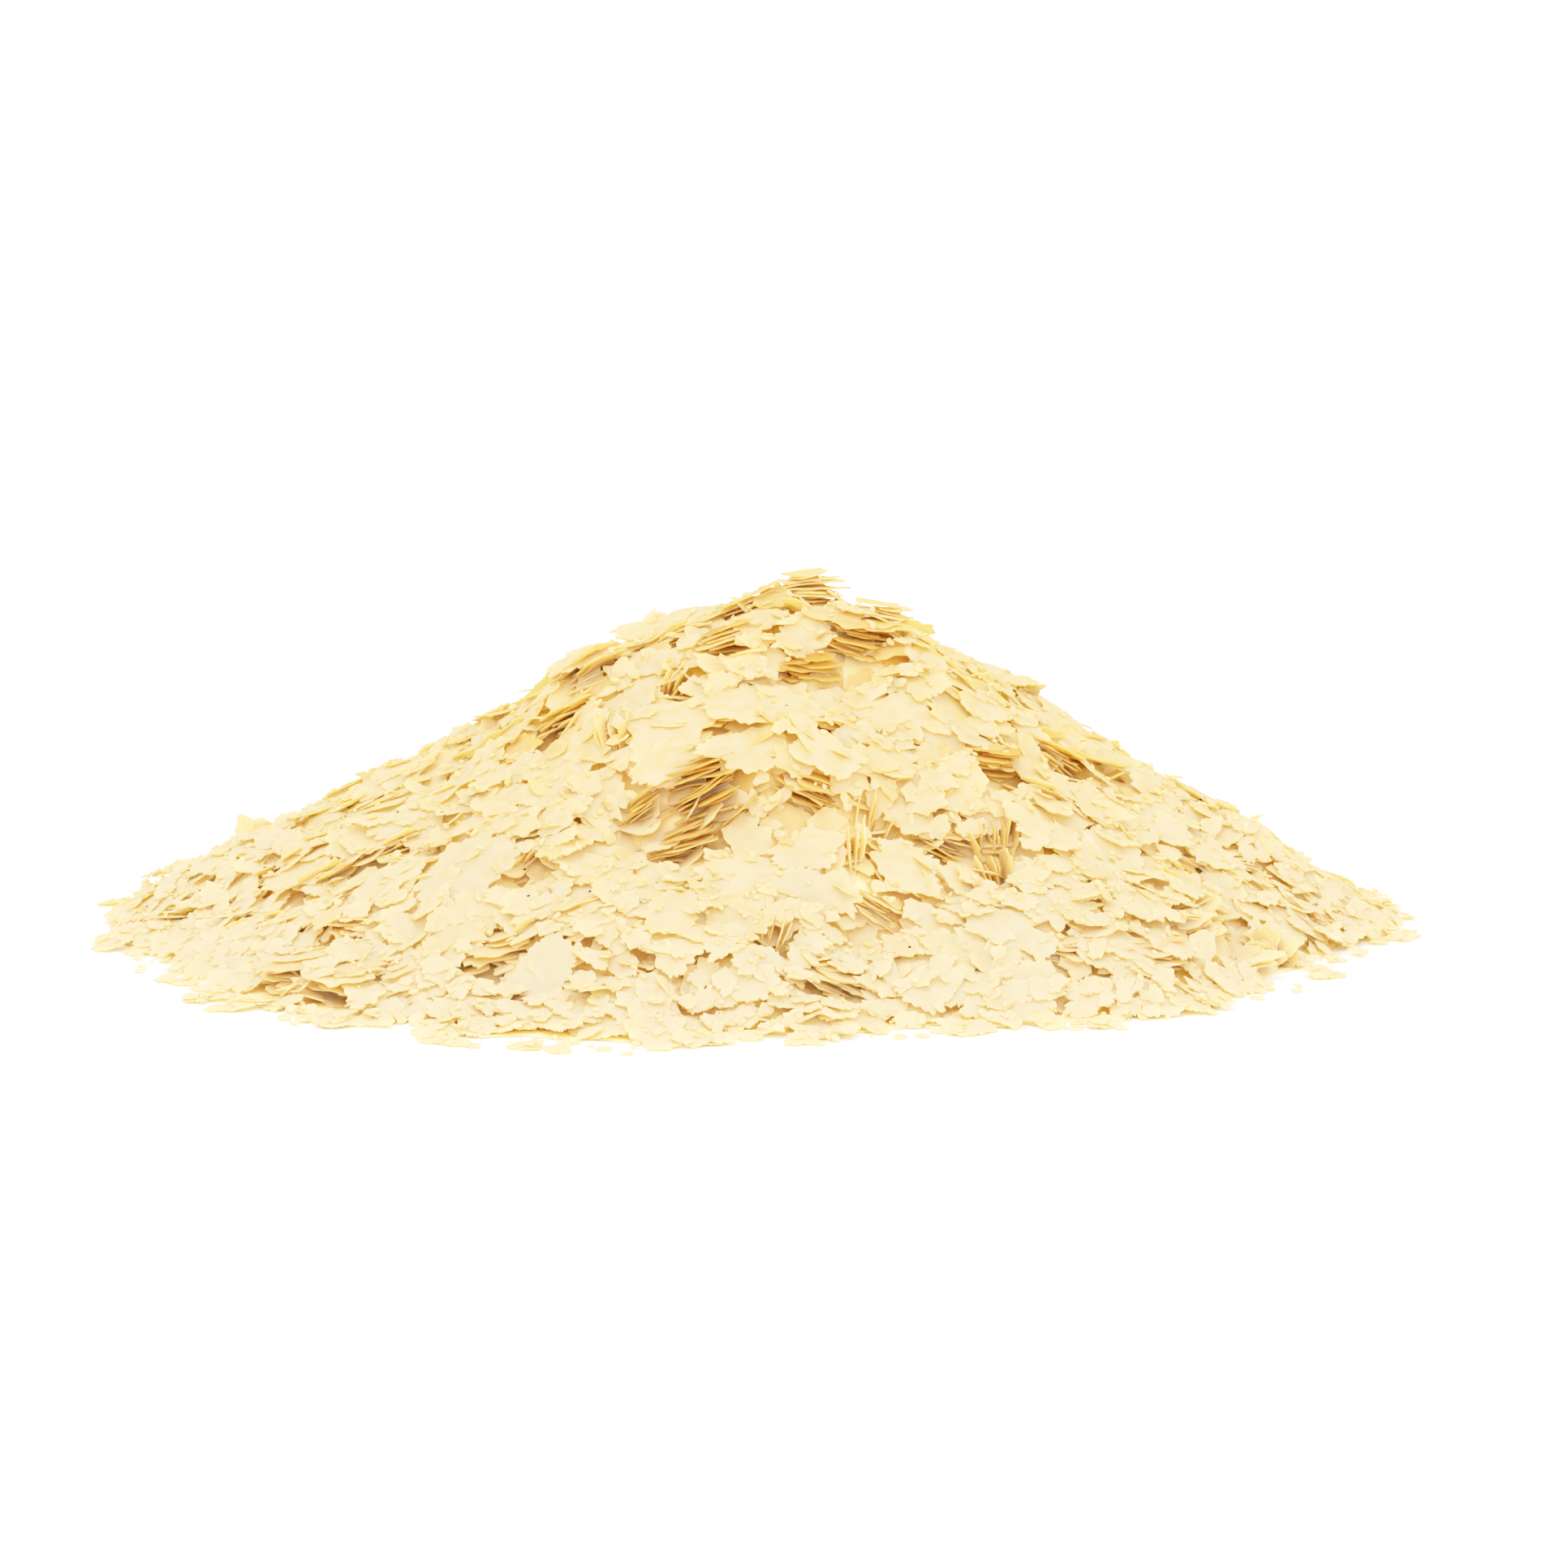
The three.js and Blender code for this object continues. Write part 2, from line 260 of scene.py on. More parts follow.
for ring in range(CORE_RINGS):
    inner, outer = 1 + ring * CORE_SECTORS, 1 + (ring + 1) * CORE_SECTORS
    core_faces.append(np.stack([inner + around, outer + around, outer + ahead], axis=1))
    core_faces.append(np.stack([inner + around, outer + ahead, inner + ahead], axis=1))
last = 1 + CORE_RINGS * CORE_SECTORS
centre_below = np.full_like(around, last + CORE_SECTORS)
core_faces.append(np.stack([last + ahead, last + around, centre_below], axis=1))
core = mesh_object("packed_flakes", core_points, np.concatenate(core_faces))
core.data.shade_smooth()

# Dried potato sheet in the dark of the heap: matt, mottled flake by flake, and with painted shade: a deeper
# straw than outside
SHADED_FLAKE_SIZE = 3.0
shaded_flakes = new_material("potato_sheet_in_shade")
core_places = add_node(shaded_flakes, "ShaderNodeTexCoord").outputs["Object"]
core_mottle = add_node(
    shaded_flakes, "ShaderNodeTexVoronoi", Vector=core_places, Scale=1 / (SHADED_FLAKE_SIZE * MM)
)
core_ramp = add_node(shaded_flakes, "ShaderNodeValToRGB", Fac=core_mottle.outputs["Color"])
core_ramp.color_ramp.elements[0].color = linear("#f1cf86")
core_ramp.color_ramp.elements[1].color = linear("#f9e3a2")
core_bump = add_node(
    shaded_flakes, "ShaderNodeBump", Height=core_mottle.outputs["Distance"], Strength=0.8, Distance=0.5 * MM
)
core_shader = add_node(
    shaded_flakes,
    "ShaderNodeBsdfPrincipled",
    Base_Color=core_ramp.outputs["Color"],
    Normal=core_bump.outputs["Normal"],
    Roughness=0.8,
)
add_node(shaded_flakes, "ShaderNodeOutputMaterial", Surface=core_shader.outputs[0])
core.data.materials.append(shaded_flakes)
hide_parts("potato_flakes")
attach(core, "root")


# ---- The pressed flakes ----
# Potato mash dried on a drum to a sheet under 0.2 mm thick and broken up: flakes 4 to 7.5 mm across that
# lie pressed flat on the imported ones, and are seen only deep between the others.
SHEET = 0.18  # the sheet's thickness
ground = np.zeros_like(form)  # the top of what has been laid so far
core_limit = np.interp(
    np.arctan2(grid_y, grid_x) % (2 * math.pi), core_headings, CORE_REACH * foot_edge, period=2 * math.pi
)
inside_core = np.hypot(grid_x, grid_y) < core_limit
ground[inside_core] = np.maximum(form[inside_core] - LOOSE_DEPTH, THINNEST_CORE)
SLOPE_SMOOTHING = 4  # in cells
slope_x, slope_y = np.gradient(smoothed(form, SLOPE_SMOOTHING), GRID_STEP)
whole_heap = grid_x[form > HEAP_EDGE], grid_y[form > HEAP_EDGE]
low_ground = (form > 0.2) & (form < 1.4)
edge_of_foot = grid_x[low_ground], grid_y[low_ground]
wanted = form.copy()  # the surface that the flakes are laid up to


def cells_of(x, y):
    """The grid cells that places fall in."""
    i = np.clip((np.asarray(x) + GRID_HALF) / GRID_STEP + 0.5, 0, form.shape[0] - 1).astype(int)
    j = np.clip((np.asarray(y) + GRID_HALF) / GRID_STEP + 0.5, 0, form.shape[1] - 1).astype(int)
    return i, j


def drift_field(lengths, waves_each=3):
    """A smooth random field over the table, from about -1 to 1, as a sum of waves of these lengths."""
    count = len(lengths) * waves_each
    headings = rng.uniform(0, 2 * math.pi, count)
    phases = rng.uniform(0, 2 * math.pi, count)
    paces = 2 * math.pi / np.repeat(lengths, waves_each)

    def value(x, y):
        waves = np.cos((x * np.cos(headings) + y * np.sin(headings)) * paces + phases)
        # The sum over its standard deviation, of which few sums go beyond 1.6
        return waves.sum() * math.sqrt(2 / count) / 1.6

    return value


TEETH_SPACINGS = ((1, 1.0), (3, 0.9), (8, 0.7))  # a tooth at each so many points, and how deep it is
NOTCHES = 4
DEEPEST_NOTCH = 0.36  # share of the radius


def torn_outline(length, width, points, corners, teeth):
    """The outline of a flake: straight breaks between a few corners, then teeth and notches."""
    corner_turns = (np.arange(corners) + rng.uniform(-0.36, 0.36, corners)) / corners * 2 * math.pi
    corner_radii = 0.5 * rng.uniform(0.72, 1.0, corners)
    corner_places = corner_radii[:, None] * np.stack([np.cos(corner_turns), np.sin(corner_turns)], axis=1)
    along = np.arange(points) * corners / points
    start = along.astype(int) % corners
    share = (along % 1)[:, None]
    places = corner_places[start] * (1 - share) + corner_places[(start + 1) % corners] * share
    turns = np.arctan2(places[:, 1], places[:, 0])
    radii = np.hypot(places[:, 0], places[:, 1])
    for spacing, part in TEETH_SPACINGS:
        knots = np.arange(0, points + spacing, spacing)
        heights = rng.uniform(-1, 1, len(knots))
        radii *= 1 + teeth * part * np.interp(np.arange(points), knots, heights)
    for _ in range(NOTCHES):
        away = np.abs((turns - rng.uniform(0, 2 * math.pi) + math.pi) % (2 * math.pi) - math.pi)
        radii *= 1 - rng.uniform(0, DEEPEST_NOTCH) * np.exp(-((away / rng.uniform(0.07, 0.35)) ** 2))
    return np.stack([length * radii * np.cos(turns), width * radii * np.sin(turns)], axis=1)


def sheet_rise(u, v, curl):
    """How far a flake's sheet rises from its flat plane: its bends, and ripples from drying."""
    bend_u, twist, bend_v, ripple, pace, phase = curl
    ripples = np.sin(pace * u + phase) + 0.7 * np.cos(0.8 * pace * v - phase)
    return bend_u * u**2 + twist * u * v + bend_v * v**2 + ripple * ripples


class Flakes:
    """The flakes of one kind as they are laid: their outlines, curls, places and tones.

    roll is how far a flake is bent over its length and ripple the height of its ripples in millimetres."""

    def __init__(self, points, corners, teeth, roll, ripple, tone_range=(0, 1)):
        self.points, self.corners, self.teeth = points, corners, teeth
        self.roll, self.ripple = roll, ripple
        self.tone_range = tone_range
        self.outlines, self.curls, self.middles, self.turns, self.tones = [], [], [], [], []

    def make(self, length, slimness=None):
        """A new flake's outline and its own curl."""
        width = length * (slimness or rng.uniform(0.6, 0.98))
        outline = torn_outline(length, width, self.points, self.corners, self.teeth)
        bends = rng.normal(0, self.roll, 3) / length
        curl = (*bends, rng.uniform(0.4, 1.0) * self.ripple, 2 * math.pi / rng.uniform(2.4, 4.6))
        return outline, (*curl, rng.uniform(0, 2 * math.pi))

    def keep(self, outline, curl, middle, turn, tone=None):
        """Adds a flake that has found its place."""
        self.outlines.append(outline)
        self.curls.append(curl)
        self.middles.append(middle)
        self.turns.append(turn)
        self.tones.append(rng.uniform(*self.tone_range) if tone is None else tone)


GOLDEN_ANGLE = math.pi * (3 - math.sqrt(5))


def spots_on(outline, count):
    """Places spread evenly over a flake, in its own plane."""
    index = np.arange(count)
    turns = index * GOLDEN_ANGLE
    outline_turns = np.arctan2(outline[:, 1], outline[:, 0])
    radii = np.interp(turns, outline_turns, np.hypot(outline[:, 0], outline[:, 1]), period=2 * math.pi)
    shares = np.sqrt((index + 0.5) / count)
    return shares * radii * np.cos(turns), shares * radii * np.sin(turns)


def turn_to(normal, spin):
    """The turn that lays a flake's face along the normal, spun about it, as a matrix of three columns."""
    normal = normal / np.linalg.norm(normal)
    side = np.cross(normal, [math.cos(spin), math.sin(spin), 0.02])
    side /= np.linalg.norm(side)
    return np.stack([side, np.cross(normal, side), normal], axis=1)


FOOT_SIZE = 0.62  # flakes at the foot of the heap are this much of the length of those high on it
HIGH_UP = 14  # height from which flakes have their whole length
SHARPEST_BEND = 0.025  # per mm: a sheet bent more than this would have broken
SAG_SHARE = 0.6  # how much of the bend of what it lies on a sheet takes over
SPOTS_ON_A_SQUARE = 4  # a flake feels the ground at this many spots times its length in mm squared
FEWEST_SPOTS = 12
OFF_THE_HEAP = 0.02  # a flake may not reach over ground where the form is lower than this
PEAK_X = 4  # the peak stands this far right of the middle, and the slopes fall away from it
# Cells that a named flake or a stack keeps for itself, and those of a stack in a hollow that stays open
KEPT = 1
KEPT_OPEN = 3
shown = np.zeros(form.shape, np.int8)


def settle(kind, flake, x, y, turn, bedding, allowance, boldness=KEPT_OPEN, tone=None):
    """Lets a new flake down on the ground at (x, y), and keeps it if it doesn't stand too proud.

    bedding is the share of the flake that bears on or into what lies below, allowance how far its mean
    top may lie over the wanted surface, and boldness the mean of what others keep of its cells, above
    which it is turned away. The sheet sags a little after what it lies on. Only a named flake comes with
    its tone, and it keeps its place."""
    outline, own_curl = flake
    count = max(FEWEST_SPOTS, int(np.ptp(outline[:, 0]) ** 2 * SPOTS_ON_A_SQUARE))
    u, v = spots_on(outline, count)
    flat = turn @ np.stack([u, v, np.zeros_like(u)])
    cells = cells_of(x + flat[0], y + flat[1])
    if wanted[cells].min() < OFF_THE_HEAP or shown[cells].mean() > boldness:
        return False
    powers = np.stack([np.ones_like(u), u, v, u * u, u * v, v * v], axis=1)
    sag = np.linalg.lstsq(powers, (ground[cells] - flat[2]) * turn[2, 2], rcond=None)[0][3:]
    bends = np.clip(SAG_SHARE * sag + own_curl[:3], -SHARPEST_BEND, SHARPEST_BEND)
    curl = (*bends, *own_curl[3:])
    heights = flat[2] + turn[2, 2] * sheet_rise(u, v, curl)
    lift = np.quantile(ground[cells] - heights + SHEET / 2, 1 - bedding)
    rim = turn @ np.stack([*outline.T, sheet_rise(*outline.T, curl)])
    lift = max(lift, SHEET / 2 - rim[2].min())
    top = heights + lift + SHEET / 2
    if (top - wanted[cells]).mean() > allowance:
        return False
    np.maximum.at(ground, cells, top)
    kind.keep(outline, curl, (x, y, lift), turn, tone)
    if tone is not None:
        shown[cells] = KEPT
    return True


GROUND_SHARE = 0.8  # how much the ground's own normal counts against the slope's


def ground_normal(x, y, reach):
    """The normal of the ground round a place, mixed with the slope's own."""
    i, j = cells_of(x, y)
    n = max(1, int(reach / GRID_STEP))
    patch = ground[max(i - n, 0) : i + n + 1, max(j - n, 0) : j + n + 1]
    fall_x, fall_y = (side.mean() for side in np.gradient(patch, GRID_STEP))
    own = np.array([-slope_x[i, j], -slope_y[i, j], 1])
    below = GROUND_SHARE * np.array([-fall_x, -fall_y, 1])
    normal = own / np.linalg.norm(own) + below / math.hypot(1, fall_x, fall_y)
    return normal / np.linalg.norm(normal)


def leaning(normal, x, y, out_tilt, aside_tilt):
    """The normal tilted by these degrees away from the heap's middle and to the side, at most 60."""
    heading = math.atan2(y, x - PEAK_X)
    outward = np.array([math.cos(heading), math.sin(heading), 0])
    aside = np.array([-outward[1], outward[0], 0])
    out_share, aside_share = np.tan(np.radians(np.clip([out_tilt, aside_tilt], -60, 60)))
    return normal + out_share * outward + aside_share * aside


TIMID = 0.3  # a kind less bold than this looks for places that nobody keeps
FAR_TOO_FULL = 9  # how much too full such a kind takes a kept place to be
DRIFTS = (8, 13, 22)  # how far apart flakes lean the same way
TRIES_FOR_EACH = 3  # flakes let down for each that is wanted, as some are turned away


def lay(kind, count, lengths, tilts, bedding, allowance, boldness=0.12, tries=12, places=whole_heap):
    """Lays flakes of one kind, each at the place of several that lacks most.

    lengths are the least, the commonest and the greatest, high on the heap. tilts are how far flakes lean
    together and each by itself, and how far they lie less steep than the slope, in degrees."""
    drift_tilt, own_tilt, flatter = tilts
    kept_clear = FAR_TOO_FULL * np.minimum(shown, KEPT) * (boldness < TIMID)
    lean_out, lean_aside = drift_field(DRIFTS), drift_field(DRIFTS)
    laid = 0
    for _ in range(count * TRIES_FOR_EACH):
        if laid == count:
            break
        picks = rng.integers(0, len(places[0]), tries)
        xs = places[0][picks] + rng.uniform(-GRID_STEP / 2, GRID_STEP / 2, tries)
        ys = places[1][picks] + rng.uniform(-GRID_STEP / 2, GRID_STEP / 2, tries)
        cells = cells_of(xs, ys)
        best = int(np.argmax((wanted - ground)[cells] - kept_clear[cells]))
        x, y = xs[best], ys[best]
        length = rng.triangular(*lengths) * np.interp(wanted[cells][best], [1, HIGH_UP], [FOOT_SIZE, 1])
        out_tilt = drift_tilt * lean_out(x, y) + rng.normal(0, own_tilt) - flatter
        aside_tilt = drift_tilt * lean_aside(x, y) + rng.normal(0, own_tilt)
        normal = leaning(ground_normal(x, y, 0.4 * length), x, y, out_tilt, aside_tilt)
        turn = turn_to(normal, rng.uniform(0, 2 * math.pi))
        laid += settle(kind, kind.make(length), x, y, turn, bedding, allowance, boldness)


THINNING = 4  # each ring of points further in on a flake has this many times fewer points
EDGE_THINNESS = 0.7  # the sheet's thickness at its torn edge, as a share


def flakes_object(name, kind, rings):
    """All flakes of one kind as one mesh of closed thin solids.

    rings are the shares of the outline at which the sheet's faces have points: all of the outline's on
    the first ring, and fewer on each ring further in. Each flake has its own tone."""
    count, points = len(kind.outlines), kind.points
    outlines = np.array(kind.outlines)
    curls = [np.array(column)[:, None] for column in zip(*kind.curls)]
    middles, turns = np.array(kind.middles), np.array(kind.turns)
    ring_points = [outlines[:, :: THINNING**n] * share for n, share in enumerate(rings)]
    plane = np.concatenate([*ring_points, np.zeros((count, 1, 2))], axis=1)
    per_face = plane.shape[1]
    sheet = sheet_rise(plane[..., 0], plane[..., 1], curls)
    half_sheet = np.full(per_face, SHEET / 2)
    half_sheet[:points] *= EDGE_THINNESS
    faces_up, start, on_ring = [], 0, points
    for _ in rings[1:]:
        outer = np.arange(0, on_ring, THINNING)
        inner = start + on_ring + np.arange(on_ring // THINNING)
        inner_next = np.roll(inner, -1)
        for n in range(THINNING):
            here, beyond = start + outer + n, start + (outer + n + 1) % on_ring
            faces_up.append(np.stack([here, beyond, inner if n < THINNING / 2 else inner_next], axis=1))
        middle = start + outer + THINNING // 2
        faces_up.append(np.stack([middle, inner_next, inner], axis=1))
        start, on_ring = start + on_ring, on_ring // THINNING
    last_ring = start + np.arange(per_face - 1 - start)
    last_next = start + (last_ring - start + 1) % len(last_ring)
    faces_up.append(np.stack([last_ring, last_next, np.full_like(last_ring, per_face - 1)], axis=1))
    faces_up = np.concatenate(faces_up)
    here = np.arange(points)
    beyond = (here + 1) % points
    side = [
        np.stack([here, per_face + here, per_face + beyond], axis=1),
        np.stack([here, per_face + beyond, beyond], axis=1),
    ]
    flake_faces = np.concatenate([faces_up, faces_up[:, ::-1] + per_face, *side])
    upper = np.dstack([plane, sheet + half_sheet])
    lower = np.dstack([plane, sheet - half_sheet])
    local = np.concatenate([upper, lower], axis=1)
    placed = np.einsum("fij,fpj->fpi", turns, local) + middles[:, None, :]
    faces = (flake_faces[None] + (np.arange(count) * 2 * per_face)[:, None, None]).reshape(-1, 3)
    piece = mesh_object(name, placed.reshape(-1, 3), faces)
    mesh = piece.data
    # The broken edge is sharp: an edge of the mesh whose ends both lie on one rim
    rim_of_point = np.zeros(2 * per_face, np.int8)
    rim_of_point[:points] = 1
    rim_of_point[per_face : per_face + points] = 2
    ends = np.empty(2 * len(mesh.edges), np.int32)
    mesh.edges.foreach_get("vertices", ends)
    rims = rim_of_point[ends.reshape(-1, 2) % (2 * per_face)]
    sharp = mesh.attributes.new("sharp_edge", "BOOLEAN", "EDGE")
    sharp.data.foreach_set("value", (rims[:, 0] == rims[:, 1]) & (rims[:, 0] > 0))
    mesh.polygons.foreach_set("use_smooth", np.ones(len(mesh.polygons), bool))
    tone = mesh.attributes.new("tone", "FLOAT", "POINT")
    tone.data.foreach_set("value", np.repeat(kind.tones, 2 * per_face))
    mesh.materials.append(dried_potato)
    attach(piece, "root")


# Drum-dried potato sheet: matt, finely pored, and thin enough for light to come through golden. From
# flake to flake it goes from straw to pale cream, and a few thin flakes are greyer, frosted. The deep
# golden straw at the low end of the tones is partly painted shade, given to flakes deep in the heap and in
# hollows.
MOTTLE_SIZE = 1.3
MOTTLE_SHARE = 0.7
BLISTER_SIZE = 1.1
PORE_SIZE = 0.35  # really 0.1 to 0.2 mm, too fine to show, so drawn as coarse as this
dried_potato = new_material("dried_potato_sheet")
sheet_places = add_node(dried_potato, "ShaderNodeTexCoord").outputs["Object"]
sheet_tone = add_node(dried_potato, "ShaderNodeAttribute", {"attribute_name": "tone"})
tone_ramp = add_node(dried_potato, "ShaderNodeValToRGB", Fac=sheet_tone.outputs["Fac"])
# The ramp's low end, deep golden, is partly the flakes' own tone and partly painted shade
TONES = ((0.15, "#f3d386"), (0.35, "#fdecb8"), (0.92, "#fef0c6"), (0.96, "#f1e8c4"))
tone_ramp.color_ramp.elements[0].color = linear("#dcaa55")
tone_ramp.color_ramp.elements[1].position = 0.6
tone_ramp.color_ramp.elements[1].color = linear("#fef0c6")
for position, colour in TONES:
    tone_ramp.color_ramp.elements.new(position).color = linear(colour)
mottle = add_node(
    dried_potato, "ShaderNodeTexNoise", Vector=sheet_places, Scale=1 / (MOTTLE_SIZE * MM), Detail=4.0
)
mottle_ramp = add_node(dried_potato, "ShaderNodeValToRGB", Fac=mottle.outputs["Fac"])
mottle_ramp.color_ramp.elements[0].position = 0.36
mottle_ramp.color_ramp.elements[0].color = linear("#fbedc6")
mottle_ramp.color_ramp.elements[1].position = 0.58
mottled = add_node(
    dried_potato,
    "ShaderNodeMix",
    {"data_type": "RGBA", "blend_type": "MULTIPLY"},
    _0=MOTTLE_SHARE,
    _6=tone_ramp.outputs["Color"],
    _7=mottle_ramp.outputs["Color"],
)
# Low on the heap the flakes lie thin on the white table, whose light shows through them: painted light, a
# paler colour towards the bottom
PALER_BELOW = 16
PALER_SHARE = 0.6
sheet_height = add_node(dried_potato, "ShaderNodeSeparateXYZ", Vector=sheet_places).outputs["Z"]
painted_table_light = add_node(
    dried_potato,
    "ShaderNodeMapRange",
    Value=sheet_height,
    From_Max=PALER_BELOW * MM,
    To_Min=PALER_SHARE,
    To_Max=0.0,
)
sheet_colour = add_node(
    dried_potato,
    "ShaderNodeMix",
    {"data_type": "RGBA"},
    _0=painted_table_light.outputs["Result"],
    _6=mottled.outputs[2],
    _7=linear("#fff8e0"),
)
# Here and there a speck of potato skin stayed in the mash
SPECK_SPACING = 4.0  # from speck to speck, most of them between the sheets and so unseen
SPECK_RADIUS = 0.15
skin = add_node(dried_potato, "ShaderNodeTexVoronoi", Vector=sheet_places, Scale=1 / (SPECK_SPACING * MM))
on_a_speck = add_node(
    dried_potato,
    "ShaderNodeMath",
    {"operation": "LESS_THAN"},
    _0=skin.outputs["Distance"],
    _1=SPECK_RADIUS / SPECK_SPACING,
)


def with_specks(colour):
    """The sheet's colour, or brown skin on a speck."""
    mix = add_node(
        dried_potato,
        "ShaderNodeMix",
        {"data_type": "RGBA"},
        _0=on_a_speck.outputs[0],
        _6=colour,
        _7=linear("#6e4a28"),
    )
    return mix.outputs[2]


pores = add_node(
    dried_potato, "ShaderNodeTexNoise", Vector=sheet_places, Scale=1 / (PORE_SIZE * MM), Detail=2.0
)
pore_bump = add_node(
    dried_potato, "ShaderNodeBump", Height=pores.outputs["Fac"], Strength=0.8, Distance=0.06 * MM
)
blisters = add_node(
    dried_potato, "ShaderNodeTexNoise", Vector=sheet_places, Scale=1 / (BLISTER_SIZE * MM), Detail=1.0
)
sheet_bump = add_node(
    dried_potato,
    "ShaderNodeBump",
    Height=blisters.outputs["Fac"],
    Strength=0.6,
    Distance=0.2 * MM,
    Normal=pore_bump.outputs["Normal"],
)
sheet_face = add_node(
    dried_potato,
    "ShaderNodeBsdfPrincipled",
    Base_Color=with_specks(sheet_colour.outputs[2]),
    Normal=sheet_bump.outputs["Normal"],
    Roughness=0.75,
    IOR=1.45,
    Specular_IOR_Level=0.2,
)
light_through = add_node(
    dried_potato,
    "ShaderNodeBsdfTranslucent",
    Color=with_specks(linear("#fde9a2")),
    Normal=sheet_bump.outputs["Normal"],
)
SHARE_THROUGH = 0.62  # of the light that a sheet sends back, the share that came through it
thin_sheet = add_node(
    dried_potato,
    "ShaderNodeMixShader",
    _0=SHARE_THROUGH,
    _1=sheet_face.outputs[0],
    _2=light_through.outputs[0],
)
add_node(dried_potato, "ShaderNodeOutputMaterial", Surface=thin_sheet.outputs[0])

pressed = Flakes(points=12, corners=6, teeth=0.1, roll=0.1, ripple=0.05)
lay(pressed, 800, (4.0, 5.5, 7.5), (14, 8, 2), 0.35, -2.0)
flakes_object("pressed_flakes", pressed, [1.0])


# ---- The middling flakes ----
# Flakes 3 to 7 mm across that fill the heap to just under its surface. Each rests on those below, and
# they lean together in drifts, so that their edges show in bundles.
# Their tones stay on the deep side: partly their own tone, partly painted shade for flakes lying under the
# surface
middling = Flakes(points=20, corners=6, teeth=0.13, roll=0.1, ripple=0.07, tone_range=(0.15, 0.7))
lay(middling, 1200, (3.8, 5.2, 7.2), (24, 6, 10), 0.22, -0.75)


# ---- The stacked flakes ----
# Flakes that slid down together and lie like the pages of a book, their edges to the outside: level, as
# they lean on each other, or upright in a fan. The named ones are where the front of the heap has them.
STACKS = {
    # place x, y, rise to the right and lean outwards in degrees, pages, gap, length, fan in degrees, tone
    "brow": (-6.0, -24.0, 16, 1, 10, 0.27, 7.6, 10, 0.08),
    "brow_left_end": (-10.8, -25.0, 34, 0, 9, 0.28, 5.0, 18, 0.0),
    "left_bundle": (-2.8, -26.4, 33, 3, 16, 0.25, 8.8, 12, 0.04),
    "left_bundle_low": (-7.0, -27.8, 16, 3, 10, 0.26, 6.2, 14, 0.0),
    "middle_bundle": (-5.4, -25.4, 26, 2, 12, 0.25, 7.0, 12, 0.02),
    "under_the_left_end": (-9.4, -26.4, 6, 0, 7, 0.26, 4.5, 20, 0.0),
    "right_bundle": (3.8, -25.1, -24, 3, 13, 0.25, 7.6, 14, 0.08),
    "beside_the_brow": (8.8, -25.0, 68, 0, 8, 0.5, 5.5, 34, 0.2),
    "upright_fan": (19.0, -25.4, 88, 0, 13, 0.34, 6.5, 36, 0.14),
    "upright_fan_low": (19.0, -28.6, 98, 0, 9, 0.4, 5.0, 30, 0.2),
    "left_of_the_fan": (14.9, -26.8, -22, 2, 8, 0.3, 6.5, 18, 0.08),
    "behind_the_curl": (7.4, -32.6, 86, 0, 3, 0.5, 5.0, 10, 0.3),
    "front": (9.0, -35.6, -30, 3, 7, 0.26, 6.0, 12, 0.2),
    "low_in_front": (0.4, -39.6, 78, 0, 6, 0.34, 4.0, 30, 0.12),
    "foot_front": (5.8, -42.8, -18, 6, 7, 0.26, 8.0, 12, 0.3),
    "foot_left": (-22.3, -39.0, 4, 6, 7, 0.26, 7.0, 22, 0.2),
    "foot_right": (24.4, -36.8, -8, 4, 8, 0.26, 7.5, 16, 0.15),
    "right": (36.4, -14.4, -42, 0, 9, 0.28, 5.5, 22, 0.0),
    "far_right": (41.5, -9.0, -12, 4, 6, 0.26, 6.0, 14, 0.3),
    "right_edge": (43.2, -22.6, 60, 0, 11, 0.36, 4.5, 60, 0.2),
    "upper_right": (25.0, -10.0, -34, 0, 10, 0.26, 6.0, 16, 0.25),
    "right_of_the_peak": (19.2, -17.6, -8, 4, 8, 0.28, 5.5, 14, 0.1),
    "below_the_peak": (3.0, -10.6, -6, 4, 8, 0.28, 6.5, 14, 0.06),
    "peak_right": (8.4, -7.2, -12, 3, 10, 0.28, 7.5, 14, 0.12),
    "peak_left": (-4.5, -6.6, 14, 3, 10, 0.28, 7.0, 16, 0.15),
    "peak_left_low": (-8.4, -10.2, 66, 0, 9, 0.34, 4.5, 22, 0.25),
    "peak_top": (3.0, 0.2, 3, 0, 10, 0.26, 6.8, 8, 0.4),
    "peak_tip": (-2.0, -0.6, 20, 0, 12, 0.26, 8.0, 12, 0.35),
    "peak_left_layers": (-10.0, -3.4, 26, 0, 9, 0.26, 7.5, 14, 0.2),
    "peak_right_layers": (10.6, -3.4, -14, 0, 7, 0.26, 6.6, 20, 0.45),
    "left_of_the_peak": (-16.4, -6.2, 30, 0, 12, 0.27, 7.0, 16, 0.25),
    "left_of_the_peak_low": (-18.0, -10.5, 26, 2, 10, 0.27, 6.5, 14, 0.2),
    "upright_left": (-13.8, -17.6, 112, 0, 9, 0.4, 5.5, 40, 0.3),
    "left_gap": (-19.6, -28.8, 40, 0, 8, 0.32, 4.0, 50, 0.05),
    "left_slope": (-32.4, -17.6, 24, 3, 7, 0.26, 6.0, 12, 0.25),
    "left_slope_low": (-38.6, -16.6, 30, 2, 8, 0.26, 6.0, 14, 0.3),
    "left_foot": (-40.3, -34.2, 6, 5, 7, 0.26, 6.5, 16, 0.25),
    "left_foot_low": (-35.0, -38.8, 0, 5, 7, 0.26, 6.5, 12, 0.3),
}
DEEP_TONE = 0.13  # a stack with a tone below this lies in a hollow, which stays open; its deep golden tone is partly painted shade
BEHIND = 30  # a named stack faces away from a place this far behind the middle, so mostly to the front
